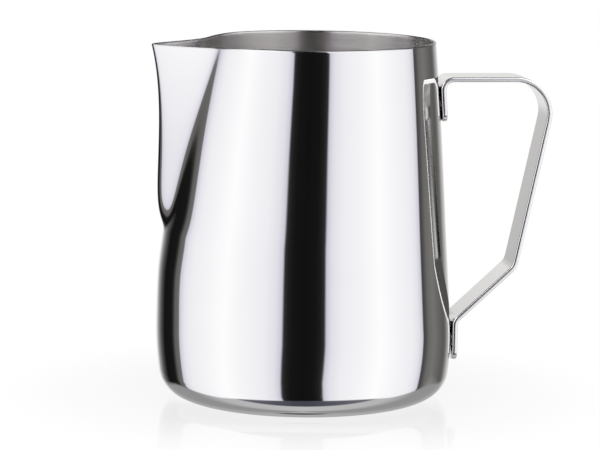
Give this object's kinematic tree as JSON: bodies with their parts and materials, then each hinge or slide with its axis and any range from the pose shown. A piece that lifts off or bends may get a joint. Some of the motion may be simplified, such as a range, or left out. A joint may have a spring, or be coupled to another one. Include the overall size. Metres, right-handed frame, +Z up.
{
  "type": "milk frothing pitcher",
  "caption": "Tapered stainless steel jug with a pressed V pouring spout and a bent flat-strap handle spot-welded to its wall.",
  "frame": {"origin": "centre of the flat underside of the base, on the surface the jug stands on", "axes": "+Z up out of the mouth, spout towards -X, handle towards +X, XZ is the plane of symmetry"},
  "size_m": [0.1232, 0.091, 0.11],
  "materials": {
    "polished_body": "mirror-polished stainless steel outside, brushed inside",
    "satin_strap": "satin stainless steel strap with eased edges",
    "weld": "dull fused steel"
  },
  "bodies": {
    "root": {"vessel": "polished_body", "handle_strap": "satin_strap", "weld_upper_left": "weld", "weld_upper_right": "weld", "weld_lower_left": "weld", "weld_lower_right": "weld"}
  },
  "joints": []
}
